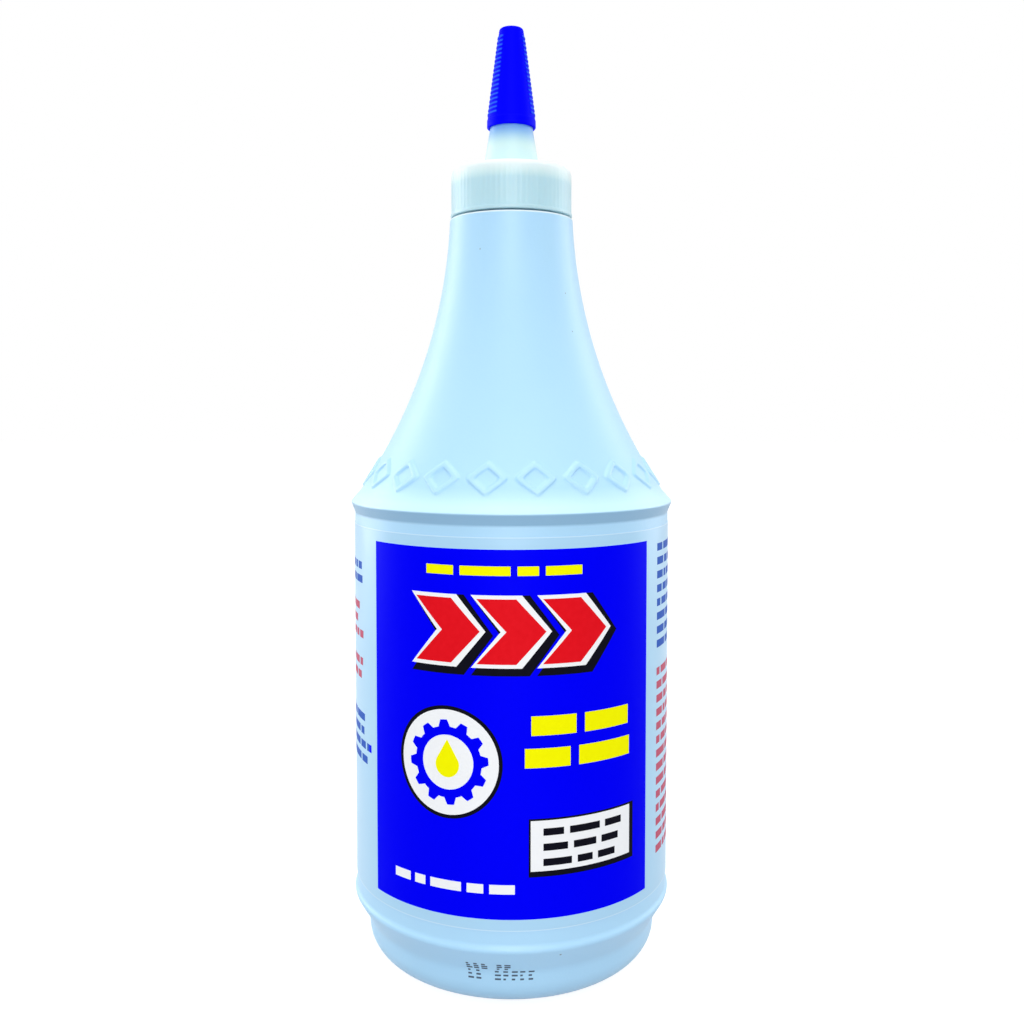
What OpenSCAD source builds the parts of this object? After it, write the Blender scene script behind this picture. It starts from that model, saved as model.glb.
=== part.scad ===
// Squeeze bottle for an engine oil additive, with a screw-on spout and a tip cap.
// Origin at the middle of the resting face, +Z up, label facing -Y, millimetres.

/* [Body] */
// Outer diameter of the label wall
body_d = 83; // [70:1:100]
// Wall of the blown shell
wall = 0.9; // [0.7:0.1:1.5]
// Height of the straight label wall
panel_h = 98.8; // [85:0.2:130]

/* [Foot] */
// How far the foot is set in from the label wall
foot_inset = 3.2; // [2:0.1:6]
// Height of the foot
foot_h = 9.6; // [8:0.2:14]
// Rounding between the foot and the resting face
foot_corner = 6.8; // [4:0.2:7.6]
// Height of the slope from the foot out to the lower bead
step_h = 5.7; // [3:0.1:9]
// Height of the push-up under the base
push_up = 4; // [2:0.5:8]

/* [Lower bead and upper ridge] */
// How far the lower bead stands out from the label wall
bead_out = 0.5; // [0.3:0.1:1]
// Rounding of the lower bead
bead_r = 1.4; // [1.2:0.1:2.4]
// How far the upper ridge stands out from the label wall
ridge_out = 0.9; // [0.4:0.1:1.4]
// Rounding of the upper ridge
ridge_r = 2; // [1.6:0.1:3]

/* [Shoulder] */
// Height of the flare, from the ridge to the neck's base
flare_h = 75.2; // [60:1:95]
// Radius of the flare's curve
flare_r = 137; // [100:1:220]
// Height of the raised lozenges
relief_h = 6.8; // [5:0.2:9]
// Width of the raised lozenges
relief_w = 9; // [6:0.2:9.6]
// Stroke of the raised lozenges
relief_stroke = 1.3; // [0.9:0.1:1.8]
// How far the raised lozenges stand out
relief_t = 0.6; // [0.3:0.1:1]
// Number of raised lozenges round the shoulder
relief_count = 20; // [12:1:20]

/* [Neck] */
// Outer diameter of the neck without its thread
neck_d = 25.2; // [23:0.2:29]
// Wall of the neck
neck_wall = 1.7; // [1.3:0.1:2.5]
// Height of the neck above its base
neck_h = 11; // [10:0.2:16]
// Pitch of the thread
thread_pitch = 4.23; // [3:0.01:5]
// Depth of the thread
thread_depth = 1.1; // [0.8:0.1:1.4]

/* [Closure] */
// Gap between the closure's skirt and the neck's base
skirt_gap = 0.5; // [0.3:0.1:1.5]
// Wall of the skirt
skirt_wall = 2; // [1.5:0.1:3]
// Thickness of the closure's top
top_t = 1.2; // [0.9:0.1:2]
// Number of fine ribs round the skirt
rib_count = 72; // [36:1:90]
// Thickness of the sealing ring
liner_t = 0.8; // [0.5:0.1:1.5]

/* [Spout] */
// Height of the spout above the closure's top
spout_h = 35.6; // [28:0.2:50]
// Outer diameter of the spout at its base
spout_base_d = 15; // [13:0.2:18]
// Outer diameter of the spout at its tip
spout_tip_d = 5; // [4.2:0.2:8]
// Wall of the spout
spout_wall = 1.1; // [0.8:0.1:1.5]

/* [Tip cap] */
// Height of the tip cap
tip_cap_h = 27; // [20:0.2:29]
// Wall of the tip cap
tip_wall = 0.5; // [0.4:0.1:1]
// Clearance between the tip cap and the spout
tip_clear = 0.15; // [0.1:0.05:0.3]
// Number of grip ridges on each side
grip_count = 18; // [10:1:24]

/* [Label] */
// Thickness of the label film
film_t = 0.12; // [0.08:0.02:0.2]
// Gap from the label wall's lower end up to the film
film_lift = 3.7; // [1:0.1:8]
// Gap from the film's upper edge to the ridge
film_drop = 2.6; // [1:0.1:8]
// Width of the coloured front field, along the curve
field_w = 77; // [70:1:90]
// Pale margin of the film above and below the coloured field
field_margin = 2.8; // [1:0.1:6]

/* [Liquid] */
// Height from the fill line up to the neck's base
headspace = 32; // [15:1:60]

/* [Hidden] */
$fn = 96;
eps = 0.01;

// Steps of the curves that are drawn as outlines
arc_steps = 10;
flare_steps = 28;

// Levels and radii of the blown shell
body_r = body_d / 2;
foot_r = body_r - foot_inset;
foot_draft = 0.4;
rest_ring = 4;
rest_in = foot_r - foot_corner - rest_ring;
dome_r = (rest_in * rest_in + push_up * push_up) / (2 * push_up);
bead_z = foot_h + step_h + bead_r * sin(40);
bead_c = body_r + bead_out - bead_r;
bead_end = acos((body_r - bead_c) / bead_r);
panel_z = bead_z + bead_r * sin(bead_end);
ridge_c = body_r + ridge_out - ridge_r;
ridge_start = acos((body_r - ridge_c) / ridge_r);
ridge_z = panel_z + panel_h + ridge_r * sin(ridge_start);
ridge_end = 35;
neck_z = ridge_z + flare_h;

// Neck, thread and closure
neck_r = neck_d / 2;
bore_r = neck_r - neck_wall;
lip_z = neck_z + neck_h;
lip_round = 0.5;
base_round = 0.5;
thread_clear = 0.4;
thread_root_w = thread_pitch * 0.42;
thread_crest_w = thread_pitch * 0.2;
thread_lead = 1.2;
thread_z = neck_z + skirt_gap + thread_root_w + thread_lead;
thread_sink = 0.3;
thread_end = 0.2;
skirt_in_r = neck_r + thread_depth + thread_clear;
skirt_r = skirt_in_r + skirt_wall;
flush_step = 0.15;
neck_base_r = skirt_r + flush_step;
skirt_z = neck_z + skirt_gap;
plate_z = lip_z + liner_t;
neck_turns = (lip_z - lip_round - thread_end - thread_root_w / 2 - thread_z) / thread_pitch;
skirt_turns = (lip_z - thread_end - thread_root_w / 2 - thread_z) / thread_pitch;
cap_top_z = plate_z + top_t;
top_round = 1.6;
rib_depth = 0.25;
rib_inset = 0.06;
rib_foot = 0.8;
plain_r = skirt_r - rib_depth - 0.05;
liner_clear = 0.3;

// Flare: one arc from the upper ridge to the neck's base, centred outside the bottle
flare_lo = [ridge_c + ridge_r * cos(ridge_end), ridge_z + ridge_r * sin(ridge_end)];
flare_hi = [neck_base_r, neck_z - base_round];
flare_chord = norm(flare_hi - flare_lo);
flare_off = sqrt(flare_r * flare_r - flare_chord * flare_chord / 4);
flare_side = [flare_hi[1] - flare_lo[1], flare_lo[0] - flare_hi[0]] / flare_chord;
flare_c = (flare_lo + flare_hi) / 2 + flare_off * flare_side;

// Spout and tip cap
spout_base_r = spout_base_d / 2;
spout_tip_r = spout_tip_d / 2;
spout_z = cap_top_z + spout_h;
spout_slope = (spout_base_r - spout_tip_r) / spout_h;
spout_fillet = 1;
tip_gap = 0.3;
tip_top_t = 1.5;
tip_top_z = spout_z + tip_gap + tip_top_t;
tip_z = tip_top_z - tip_cap_h;
tip_round = 0.8;
collar_h = 2.4;
collar_out = 0.12;
collar_chamfer = 0.35;
grip_depth = 0.2;
grip_sink = 0.1;
grip_angle = 82;
grip_turn = 8.5;
grip_margin = 1.2;

// Liquid
fill_z = neck_z - headspace;
fill_clear = 0.1;

// Label and print, in layers a hair apart so that each colour shows
film_z = panel_z + film_lift;
film_h = panel_h - film_lift - film_drop;
film_r = body_r + film_t;
ink_t = 0.08;
ink_gap = 0.01;
field_z = film_z + field_margin;
field_h = film_h - 2 * field_margin;

// Points of an arc about c, from angle a0 to a1
function arc(c, r, a0, a1, n = arc_steps) =
    [for (i = [0:n]) c + r * [cos(a0 + (a1 - a0) * i / n), sin(a0 + (a1 - a0) * i / n)]];

// Radius of the flare at height z, moved inwards by t
function flare_at(z, t = 0) =
    flare_c[0] - sqrt(pow(flare_r + t, 2) - pow(z - flare_c[1], 2));

// Height at which the flare, moved inwards by t, has radius r
function flare_height(r, t = 0) =
    flare_c[1] - sqrt(pow(flare_r + t, 2) - pow(flare_c[0] - r, 2));

// Points of the flare from height z0 up to z1, moved inwards by t
function flare_line(z0, z1, t = 0, n = flare_steps) =
    [for (i = [0:n]) let (z = z0 + (z1 - z0) * i / n) [flare_at(z, t), z]];

// Push-up under the base, from the axis out to the resting ring, at wall depth t
function dome_line(t) =
    let (c = push_up - dome_r, a1 = asin((t - c) / (dome_r + t)))
    arc([0, c], dome_r + t, 90, a1, 8);

// Outside of the shell from the axis to the neck's base
outer_line = concat(
    dome_line(0),
    arc([foot_r - foot_draft - foot_corner, foot_corner], foot_corner, -90, 0),
    [[foot_r, foot_h]],
    arc([bead_c, bead_z], bead_r, -40, bead_end),
    arc([ridge_c, ridge_z], ridge_r, -ridge_start, ridge_end),
    flare_line(flare_lo[1] + 0.5, flare_hi[1])
);

// Inside of the shell, a wall further in, up to where it closes on the bore
inner_line = concat(
    dome_line(wall),
    arc([foot_r - foot_draft - foot_corner, foot_corner], foot_corner - wall, -90, 0),
    [[foot_r - wall, foot_h + wall / 2], [body_r - wall, foot_h + step_h]],
    flare_line(flare_height(body_r - wall, wall), neck_z - 5, wall)
);

// Neck from its base over the lip and down the bore
neck_line = concat(
    arc([neck_base_r - base_round, neck_z - base_round], base_round, 0, 90, 4),
    [[neck_r, neck_z]],
    arc([neck_r - lip_round, lip_z - lip_round], lip_round, 0, 90, 4),
    [[bore_r, lip_z], [bore_r, neck_z - 1]]
);

// Reverses a list
function back(v) = [for (i = [len(v) - 1:-1:0]) v[i]];

// Thread as a swept trapezoid; side is 1 outwards and -1 inwards
module thread(root_r, depth, side, turns) {
    steps = 24;
    rings = round(turns * steps);
    fade = 5;
    blunt = 0.5;
    crest_more = 0.2;
    pts = [for (i = [0:rings], k = [0:3])
        let (
            a = 360 * i / steps,
            grow = min(1, (i + blunt) / fade, (rings - i + blunt) / fade),
            r = k < 2 ? root_r - side * thread_sink : root_r + side * depth * grow,
            w = k < 2 ? thread_root_w / 2 : thread_crest_w / 2 + (1 - grow) * crest_more,
            z = thread_z + thread_pitch * i / steps + (k == 0 || k == 3 ? -w : w)
        )
        [r * cos(a), r * sin(a), z]];
    walls = [for (i = [0:rings - 1], k = [0:3])
        [4 * i + k, 4 * i + (k + 1) % 4, 4 * (i + 1) + (k + 1) % 4, 4 * (i + 1) + k]];
    ends = [[3, 2, 1, 0], [for (k = [0:3]) 4 * rings + k]];
    faces = concat(walls, ends);
    polyhedron(pts, side > 0 ? [for (f = faces) back(f)] : faces, convexity = 4);
}

// Outline of one lozenge, drawn with a stroke
module lozenge(w, h, stroke) {
    in_w = w - stroke * norm([w, h]) / h * 2;
    in_h = h - stroke * norm([w, h]) / w * 2;
    difference() {
        polygon([[w / 2, 0], [0, h / 2], [-w / 2, 0], [0, -h / 2]]);
        polygon([[in_w / 2, 0], [0, in_h / 2], [-in_w / 2, 0], [0, -in_h / 2]]);
    }
}

// Band of raised lozenges on the straight foot of the flare
module relief() {
    lift = 9;
    mid_z = ridge_z + lift;
    z0 = mid_z - relief_h;
    z1 = mid_z + relief_h;
    intersection() {
        rotate_extrude()
            polygon(concat(
                [for (p = flare_line(z0, z1, 0, 8)) p + [relief_t, 0]],
                back([for (p = flare_line(z0, z1, 0, 8)) p - [wall / 2, 0]])
            ));
        for (i = [0:relief_count - 1])
            rotate([0, 0, (i + 0.5) * 360 / relief_count])
                translate([0, -flare_at(z1) + wall + 1, mid_z])
                    rotate([90, 0, 0])
                        linear_extrude(body_r)
                            lozenge(relief_w, relief_h, relief_stroke);
    }
}

module bottle() {
    color("#dcecf4")
    union() {
        rotate_extrude()
            polygon(concat(outer_line, neck_line, back(inner_line)));
        relief();
        thread(neck_r, thread_depth, 1, neck_turns);
    }
}

module oil_fill() {
    color("#c98a2b")
    rotate_extrude()
        polygon(concat(
            dome_line(wall + fill_clear),
            arc([foot_r - foot_draft - foot_corner, foot_corner],
                foot_corner - wall - fill_clear, -90, 0),
            [
                [foot_r - wall - fill_clear, foot_h + wall / 2],
                [body_r - wall - fill_clear, foot_h + step_h]
            ],
            flare_line(flare_height(body_r - wall - fill_clear, wall + fill_clear),
                fill_z, wall + fill_clear),
            [[0, fill_z]]
        ));
}

module liner() {
    color("#f4f4f2")
    translate([0, 0, lip_z])
        difference() {
            cylinder(h = liner_t, r = skirt_in_r - liner_clear);
            translate([0, 0, -eps])
                cylinder(h = liner_t + 2 * eps, r = bore_r);
        }
}

// Skirt outline with fine upright ribs
module ribbed_disc() {
    polygon([for (i = [0:2 * rib_count - 1])
        let (a = 180 * i / rib_count, r = skirt_r - rib_inset - (i % 2) * (rib_depth - rib_inset))
        [r * cos(a), r * sin(a)]]);
}

// Outside of the closure from the skirt's edge to the spout's tip
closure_line = concat(
    [[skirt_in_r, skirt_z], [skirt_r, skirt_z], [skirt_r, skirt_z + rib_foot]],
    [[plain_r, skirt_z + rib_foot]],
    arc([plain_r - top_round, cap_top_z - top_round], top_round, 0, 90),
    back(arc([spout_base_r + spout_fillet, cap_top_z + spout_fillet], spout_fillet, 188, 270, 5)),
    [[spout_tip_r, spout_z]]
);

// Inside of the closure, down the spout's bore and out along the skirt
channel_line = [
    [spout_tip_r - spout_wall, spout_z],
    [spout_base_r - spout_wall, plate_z],
    [skirt_in_r, plate_z]
];

module spout_cap() {
    color("#eaf6fa")
    union() {
        rotate_extrude()
            polygon(concat(closure_line, channel_line));
        translate([0, 0, skirt_z + rib_foot / 2])
            difference() {
                linear_extrude(cap_top_z - skirt_z - rib_foot / 2 - top_round)
                    ribbed_disc();
                translate([0, 0, -eps])
                    cylinder(h = cap_top_z - skirt_z, r = skirt_in_r + skirt_wall / 2);
            }
        rotate([0, 0, 180])
            thread(skirt_in_r, thread_depth, -1, skirt_turns);
    }
}

// Radius of the spout at height z
function spout_at(z) = spout_base_r - (z - cap_top_z) * spout_slope;

module tip_cap() {
    in_r = function(z) spout_at(z) + tip_clear;
    out_r = function(z) in_r(z) + tip_wall;
    collar_z = tip_z + collar_h;
    collar_r = out_r(collar_z) + collar_out;
    grip_z0 = collar_z + grip_margin / 2;
    grip_z1 = tip_top_z - tip_round - grip_margin;
    pitch = (grip_z1 - grip_z0) / grip_count;
    color("#1212e6")
    union() {
        rotate_extrude()
            polygon(concat(
                [
                    [in_r(tip_z), tip_z],
                    [collar_r - collar_chamfer, tip_z],
                    [collar_r, tip_z + collar_chamfer],
                    [collar_r, collar_z - collar_out],
                    [out_r(collar_z), collar_z]
                ],
                arc([out_r(tip_top_z) - tip_round, tip_top_z - tip_round], tip_round, 0, 90, 5),
                [
                    [0, tip_top_z],
                    [0, tip_top_z - tip_top_t],
                    [in_r(tip_top_z - tip_top_t), tip_top_z - tip_top_t]
                ]
            ));
        for (turn = [0, 180])
            rotate([0, 0, turn + grip_turn - grip_angle / 2])
                rotate_extrude(angle = grip_angle)
                    polygon(concat(
                        [[out_r(grip_z0) - tip_wall / 2, grip_z0]],
                        [for (i = [0:grip_count - 1], k = [0, 1, 2])
                            let (z = grip_z0 + pitch * (i + [0.1, 0.5, 0.9][k]))
                            [out_r(z) + (k == 1 ? grip_depth : -grip_sink), z]],
                        [[out_r(grip_z1) - tip_wall / 2, grip_z1]]
                    ));
    }
}

// Inner radius of a layer of ink, a hair clear of the layer under it
function ink_r(layer) = film_r + ink_gap + layer * (ink_t + ink_gap);

// Angle round the film that spans a length along it
function turn_of(u) = u / film_r * 180 / PI;

// Bar of ink on a layer: u is the place along the curve, v the height above the field
module ink_bar(layer, u0, u1, v0, v1) {
    rotate([0, 0, -90 + turn_of(u0)])
        rotate_extrude(angle = turn_of(u1 - u0))
            translate([ink_r(layer), field_z + v0])
                square([ink_t, v1 - v0]);
}

// Flat shape of ink wrapped on a layer about the point u, v
module ink_shape(layer, u, v) {
    reach = 14;
    intersection() {
        translate([0, 0, field_z])
            difference() {
                cylinder(h = field_h, r = ink_r(layer) + ink_t);
                translate([0, 0, -eps])
                    cylinder(h = field_h + 2 * eps, r = ink_r(layer));
            }
        rotate([0, 0, turn_of(u)])
            translate([0, -film_r + reach, field_z + v])
                rotate([90, 0, 0])
                    linear_extrude(reach + 1)
                        children();
    }
}

// Row of short bars that stands for a line of print
module ink_row(layer, u0, v0, h, lengths, gap) {
    for (i = [0:len(lengths) - 1]) {
        start = u0 + gap * i + sum(lengths, i);
        ink_bar(layer, start, start + lengths[i], v0, v0 + h);
    }
}

// Sum of the first n values
function sum(v, n) = n == 0 ? 0 : v[n - 1] + sum(v, n - 1);

// Slanted arrow stripe
module arrow(w, h, slant) {
    polygon([
        [-w / 2, -h / 2], [w / 2 - slant, -h / 2], [w / 2, 0],
        [w / 2 - slant, h / 2], [-w / 2, h / 2], [-w / 2 + slant, 0]
    ]);
}

// Drop with a round belly and a pointed top
module drop(r, h) {
    a = asin(r / (h - r));
    polygon(concat(arc([0, 0], r, 180 - a, 360 + a, 24), [[0, h - r]]));
}

// Toothed ring
module gear(r, teeth, tooth) {
    difference() {
        union() {
            circle(r);
            for (i = [0:teeth - 1])
                rotate(i * 360 / teeth)
                    translate([0, r])
                        square([tooth, tooth * 1.6], center = true);
        }
        circle(r - tooth);
    }
}

// Places of the printed shapes on the front field, from its lower edge and its middle line
outline = 0.9;
spread = field_w / 77;
arrow_v = field_h * 0.78;
arrow_step = 15.5 * spread;
arrow_w = 19 * spread;
arrow_h = 17;
arrow_slant = 7 * spread;
badge_u = -field_w * 0.2;
badge_v = field_h * 0.42;
badge_r = 12.5;
gear_r = badge_r - 4;
gear_teeth = 12;
gear_tooth = 2;
drop_r = 3;
drop_h = 9;
drop_v = badge_v - 0.6;
box_w = 27 * spread;
box_h = 12;
box_u = field_w / 2 - box_w / 2 - 7;
box_v = field_h * 0.2;

// Rows of bars that stand for lines of print: lengths, gaps, heights and places
line_bars = [[11, 13] * spread, [11, 15] * spread];
line_gap = 2.2 * spread;
line_u = field_w * 0.06;
line_v = field_h * 0.5;
line_h = 4.6;
line_step = 7.6;
line_shift = 1.5;
head_bars = [7, 12, 5, 9] * spread;
head_gap = 1.6 * spread;
head_u = -field_w * 0.27;
head_v = field_h * 0.93;
foot_bars = [5, 3, 8, 4, 6] * spread;
foot_gap = 1.4 * spread;
foot_u = -field_w * 0.4;
foot_v = field_h * 0.07;
row_h = 2.2;
box_bars = [[5, 8, 5] * spread, [6, 6, 5] * spread, [7, 4, 5] * spread];
box_gap = 1.5 * spread;
box_row_u = box_u - box_w / 2 + 3;
box_row_v = box_v + 2.4;
box_row_h = 1.7;
box_step = 3.6;

// Lines of fine print beside the field: even on the right, with ragged ends on the left
side_gap = 6.1;
side_w = 46;
side_step = 3.5;
side_h = 1.9;
side_top = 3.2;
side_rows = floor((field_h - side_top) / side_step);
side_blue = 8;
left_top = 8.2;
left_reach = 55;
left_ends = [9, 8.5, 25.5, 10, 13.5, 8, 23.5, 7.8, 9, 27.5, 22.5, 6, 7, 3, 5.5, 22.5, 27.5];
left_is_blue = function(i) i < 3 || i > 9;

// Lines on the right from line n0 up to line n1
module right_lines(n0, n1) {
    u = field_w / 2 + side_gap;
    for (i = [n0:n1 - 1])
        let (v = field_h - side_top - side_step * i)
        ink_bar(0, u, u + side_w - i % 3 * 4, v, v + side_h);
}

// Lines on the left, blue or red
module left_lines(blue) {
    for (i = [0:len(left_ends) - 1])
        if (left_is_blue(i) == blue)
            let (v = field_h - left_top - side_step * i)
            ink_bar(0, -field_w / 2 - left_reach, -field_w / 2 - left_ends[i], v, v + side_h);
}

module print_blue() {
    color("#0a0ae6")
    union() {
        ink_bar(0, -field_w / 2, field_w / 2, 0, field_h);
        ink_shape(3, badge_u, badge_v)
            gear(gear_r, gear_teeth, gear_tooth);
        right_lines(0, side_blue);
        left_lines(true);
    }
}

module print_dark() {
    color("#10101c")
    union() {
        for (i = [-1:1])
            ink_shape(1, arrow_step * i + outline, arrow_v - outline)
                arrow(arrow_w + 2 * outline, arrow_h + 2 * outline, arrow_slant);
        ink_shape(1, badge_u, badge_v)
            circle(badge_r + outline);
        ink_shape(1, box_u + outline / 2, box_v - outline / 2)
            square([box_w + 2 * outline, box_h + 2 * outline], center = true);
        for (i = [0:len(box_bars) - 1])
            ink_row(3, box_row_u, box_row_v - box_step * i, box_row_h, box_bars[i], box_gap);
    }
}

module print_white() {
    color("#f6f8fb")
    union() {
        for (i = [-1:1])
            ink_shape(2, arrow_step * i, arrow_v)
                arrow(arrow_w, arrow_h, arrow_slant);
        ink_shape(2, badge_u, badge_v)
            circle(badge_r);
        ink_shape(2, box_u, box_v)
            square([box_w, box_h], center = true);
        ink_row(1, foot_u, foot_v, row_h, foot_bars, foot_gap);
    }
}

module print_yellow() {
    color("#fff21a")
    union() {
        for (i = [0:len(line_bars) - 1])
            ink_row(1, line_u - line_shift * i, line_v - line_step * i, line_h, line_bars[i], line_gap);
        ink_row(1, head_u, head_v, row_h, head_bars, head_gap);
        ink_shape(3, badge_u, drop_v)
            drop(drop_r, drop_h);
    }
}

module print_red() {
    color("#e8141e")
    union() {
        for (i = [-1:1])
            ink_shape(3, arrow_step * i, arrow_v)
                arrow(arrow_w - 3 * outline, arrow_h - 2 * outline, arrow_slant);
        right_lines(side_blue + 1, side_rows);
        left_lines(false);
    }
}

module label() {
    color("#e6f4fa")
    translate([0, 0, film_z])
        difference() {
            cylinder(h = film_h, r = film_r);
            translate([0, 0, -eps])
                cylinder(h = film_h + 2 * eps, r = body_r);
        }
}

bottle();
oil_fill();
liner();
spout_cap();
tip_cap();
label();
print_blue();
print_dark();
print_white();
print_yellow();
print_red();
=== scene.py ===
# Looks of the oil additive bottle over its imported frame.
# Shapes are worked out in millimetres about the bottle's axis, label facing -Y, then scaled to metres.
import math
import bmesh
import bpy
from mathutils import Matrix, Vector


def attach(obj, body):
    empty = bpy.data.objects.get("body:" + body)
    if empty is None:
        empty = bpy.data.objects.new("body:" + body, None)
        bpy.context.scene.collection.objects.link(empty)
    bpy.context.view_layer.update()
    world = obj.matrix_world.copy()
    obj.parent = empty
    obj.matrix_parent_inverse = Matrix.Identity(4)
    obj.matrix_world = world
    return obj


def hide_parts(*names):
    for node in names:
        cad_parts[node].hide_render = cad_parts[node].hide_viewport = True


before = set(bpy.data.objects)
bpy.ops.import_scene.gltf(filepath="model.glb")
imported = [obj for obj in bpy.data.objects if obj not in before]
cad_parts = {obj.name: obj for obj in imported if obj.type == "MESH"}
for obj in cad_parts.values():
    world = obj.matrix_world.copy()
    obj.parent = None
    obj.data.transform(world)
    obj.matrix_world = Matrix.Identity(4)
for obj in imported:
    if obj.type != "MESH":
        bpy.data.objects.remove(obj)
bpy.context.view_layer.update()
MM = 0.001

# Camera at the photograph's place: close by, a little above the middle, tipped down
camera_data = bpy.data.cameras.new("camera")
camera_data.lens = 37.41
camera_data.sensor_width = 36
camera_data.shift_x = 0.0006
camera_data.shift_y = -0.0566
camera = bpy.data.objects.new("camera", camera_data)
camera.location = (0, -0.2851, 0.1434)
camera.rotation_euler = (math.radians(87.486), 0, 0)
bpy.context.scene.collection.objects.link(camera)
bpy.context.scene.camera = camera
bpy.context.scene.view_settings.view_transform = "Standard"

# Sizes of the bottle, as in the part's source, but with the ridge's edge as sharp as in the photograph
WALL = 0.9
BODY_R = 41.5
FOOT_R = 38.3
FOOT_CORNER = 6.8
REST_IN = 27.1
PUSH_UP = 4.0
BEAD = (42.234, 16.21, 1.4)
RIDGE = (42.55, 118.85, 0.7)
RIDGE_FOOT = 116.15
FLARE_START = 121.6
FLARE_R = 137.0
FLARE_LOW = Vector((42.038, 118.887))
FLARE_HIGH = Vector((16.25, 192.44))
NECK_Z = 192.94
NECK_R = 12.6
BORE_R = 10.9
LIP_Z = 203.94
SWEEP = 12
RELIEF_Z = 126.74
RELIEF_W = 9.0
RELIEF_H = 6.8
RELIEF_STROKE = 1.3
RELIEF_OUT = 0.6
RELIEF_MARGIN = 0.9
RELIEF_COUNT = 20

# Sizes of the closure, the spout and the tip cap
PITCH = 4.23
THREAD_Z = 196.42
THREAD_STEPS = 72
THREAD_HALF = [(-0.3, -0.95), (0, -0.9), (0.55, -0.72), (0.95, -0.5), (1.1, -0.25)]
SKIRT_Z = 193.44
SKIRT_R = 16.1
SKIRT_IN = 14.1
RIB_VALLEY = 15.86
RIB_OUT = 0.06
RIB_COUNT = 72
PLATE_Z = 204.74
TOP_Z = 205.94
SPOUT_Z = 241.54
SPOUT_BASE = 7.5
KNEE = (5.81, 215.84, 2.0)
SPOUT_TIP = 2.5
SPOUT_WALL = 1.1
TIP_Z = 216.9
TIP_TOP = 243.0
TIP_OFF = 0.65
TIP_SWELL = 0.2
TIP_CLEAR = 0.15
TIP_COLLAR = 2.4
TIP_LID = 1.5
GRIP_COUNT = 18
GRIP_OUT = 0.2
GRIP_HALF = math.radians(41)
GRIP_TURN = math.radians(8.5)

# Sizes of the label
FILM_Z = 20.97
FILM_H = 92.5
FILM_R = 41.62
FIELD_Z = 23.77
FIELD_H = 86.9
FIELD_W = 77.0
INK_T = 0.03
STRIP = 1.1


def arc(centre, radius, start, end, count):
    """Points of an arc, with its angles in degrees."""
    line = []
    for i in range(count + 1):
        a = math.radians(start + (end - start) * i / count)
        line.append(Vector(centre) + radius * Vector((math.cos(a), math.sin(a))))
    return line


def rounded(corners, step=9):
    """Outline whose corners (r, z, rounding) are rounded, with a point every few degrees."""
    line = []
    for i, (r, z, rounding) in enumerate(corners):
        here = Vector((r, z))
        if rounding == 0:
            line.append(here)
            continue
        before = (Vector(corners[i - 1][:2]) - here).normalized()
        after = (Vector(corners[(i + 1) % len(corners)][:2]) - here).normalized()
        half = before.angle(after) / 2
        middle = here + (before + after).normalized() * rounding / math.sin(half)
        spoke = here + before * rounding / math.tan(half) - middle
        turn = math.pi - 2 * half
        side = 1 if before.x * after.y - before.y * after.x < 0 else -1
        count = max(2, math.ceil(math.degrees(turn) / step))
        for k in range(count + 1):
            line.append(middle + Matrix.Rotation(side * turn * k / count, 2) @ spoke)
    return line


def stretch(start, end, count):
    """Points between two points of an outline, without the ends."""
    return [start.lerp(end, i / count) for i in range(1, count)]


def turned(bm, line, steps, closed=False):
    """Turns an outline round the axis into one closed shell, a twelfth at a time."""
    verts = [bm.verts.new((p.x, 0, p.y)) for p in line]
    pairs = list(zip(verts, verts[1:]))
    if closed:
        pairs.append((verts[-1], verts[0]))
    edges = [bm.edges.new(pair) for pair in pairs]
    bmesh.ops.spin(bm, geom=verts + edges, cent=(0, 0, 0), axis=(0, 0, 1), dvec=(0, 0, 0),
        angle=2 * math.pi / SWEEP, steps=steps // SWEEP)
    wedge = bm.verts[:] + bm.edges[:] + bm.faces[:]
    for i in range(1, SWEEP):
        copy = bmesh.ops.duplicate(bm, geom=wedge)["geom"]
        bmesh.ops.rotate(bm, cent=(0, 0, 0), matrix=Matrix.Rotation(2 * math.pi * i / SWEEP, 3, "Z"),
            verts=[part for part in copy if isinstance(part, bmesh.types.BMVert)])
    bmesh.ops.remove_doubles(bm, verts=bm.verts[:], dist=0.0005)
    bmesh.ops.recalc_face_normals(bm, faces=bm.faces[:])


def take_in(bm, other):
    """Adds another shape to this one."""
    mesh = bpy.data.meshes.new("other")
    other.to_mesh(mesh)
    other.free()
    bm.from_mesh(mesh)
    bpy.data.meshes.remove(mesh)


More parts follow.
